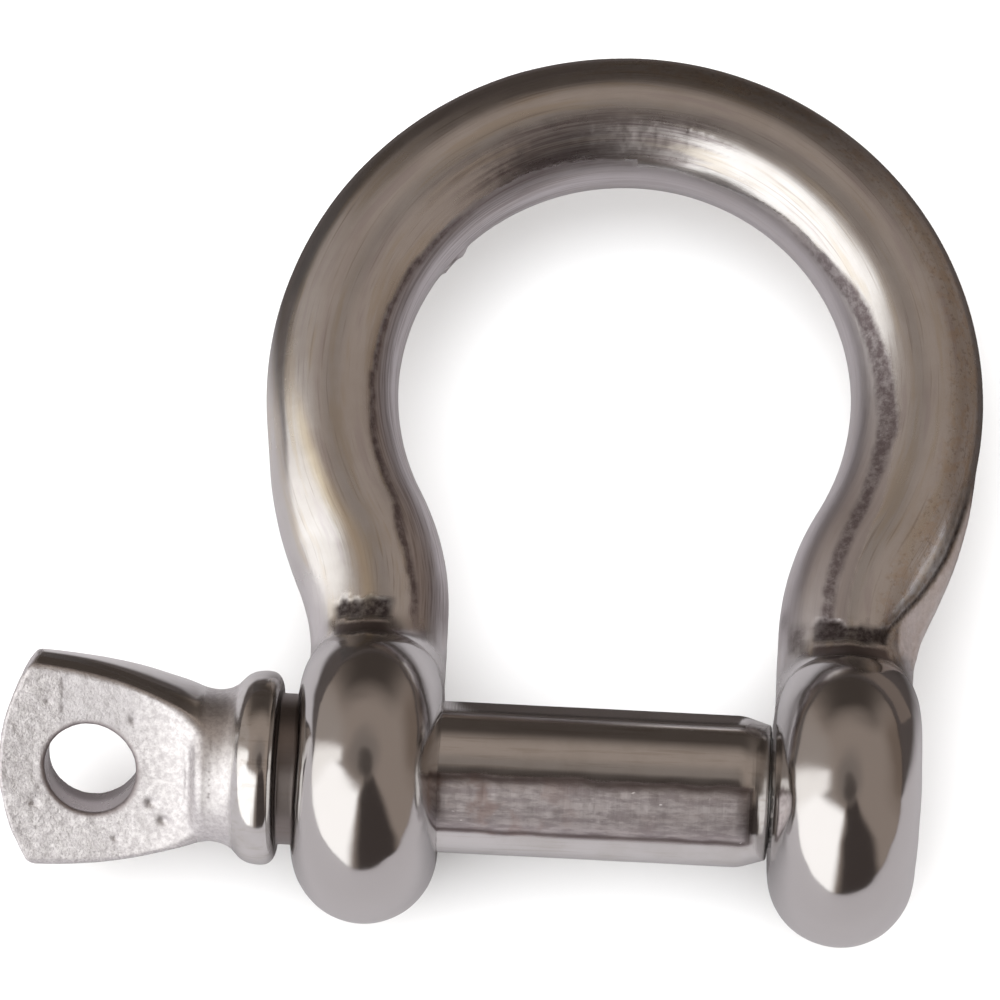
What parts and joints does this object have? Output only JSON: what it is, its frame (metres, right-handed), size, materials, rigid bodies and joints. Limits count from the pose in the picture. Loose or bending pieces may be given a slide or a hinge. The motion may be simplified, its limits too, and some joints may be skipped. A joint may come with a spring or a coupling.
{
  "type": "bow shackle",
  "caption": "Bow-shaped stainless shackle with round-rimmed eyes, closed by a collared screw pin with a flat drilled head, for joining lines, sails, chain and deck fittings.",
  "frame": {"origin": "on the screw pin's axis, midway between the eyes", "axes": "+X along the pin towards the threaded eye, +Y towards the crown of the bow, +Z normal to the plane of the bow, up when the shackle lies flat"},
  "size_m": [0.072, 0.0684, 0.0222],
  "materials": {
    "bow_steel": "polished stainless steel, left rough in the notches above the eyes",
    "pin_steel": "polished stainless steel shank and collar, matte as-cast head"
  },
  "bodies": {
    "body": {"shackle_body": "bow_steel"},
    "pin": {"screw_pin": "pin_steel"}
  },
  "joints": [
    {"name": "pin_travel", "type": "slide", "parent": "body", "child": "pin", "axis": [-1, 0, 0], "range_m": [-0.0012, 0.0435]}
  ]
}
